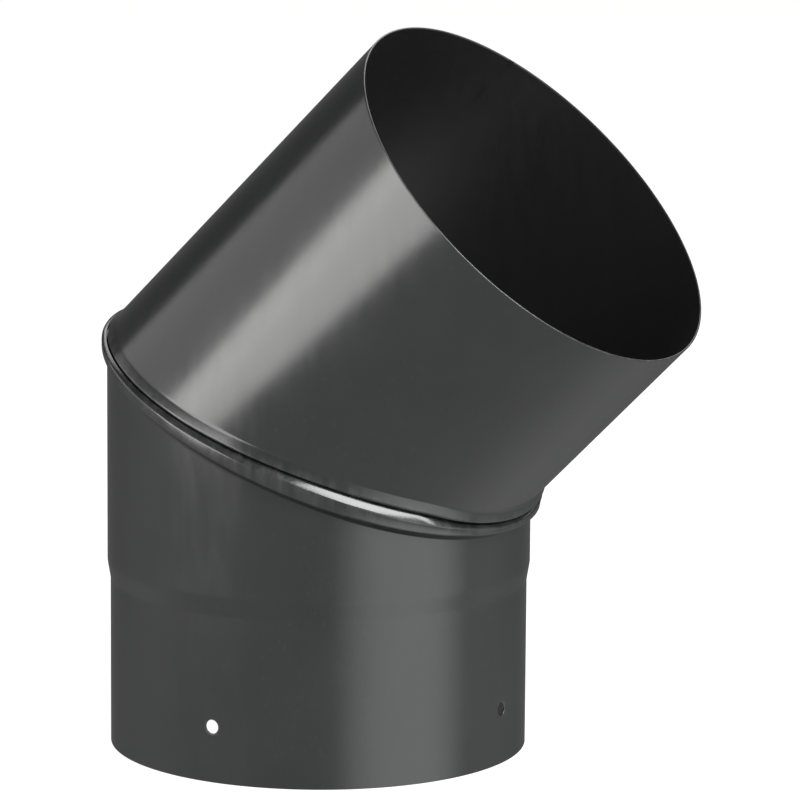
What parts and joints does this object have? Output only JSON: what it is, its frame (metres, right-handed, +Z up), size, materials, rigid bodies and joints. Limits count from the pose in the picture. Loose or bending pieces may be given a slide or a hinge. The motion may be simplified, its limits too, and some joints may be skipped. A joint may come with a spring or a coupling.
{
  "type": "flue elbow",
  "caption": "Single-wall stove-pipe elbow of black-enamelled sheet steel: two mitred legs joined by a folded lock seam, with a spigot at one end and a plain socket at the other.",
  "frame": {"origin": "centre of the spigot's open bottom edge", "axes": "+Z up along the spigot's axis, +X the way the upper leg leans, XZ the plane of the bend"},
  "size_m": [0.2166, 0.157, 0.2591],
  "materials": {
    "black_enamel": "satin black stove enamel",
    "weld_enamel": "satin black stove enamel over a butt weld",
    "sealant": "matt heat-resistant sealing compound"
  },
  "bodies": {
    "root": {"lower_leg": "black_enamel", "upper_leg": "black_enamel", "seam_sealant": "sealant", "lower_leg_weld": "weld_enamel", "upper_leg_weld": "weld_enamel"}
  },
  "joints": []
}
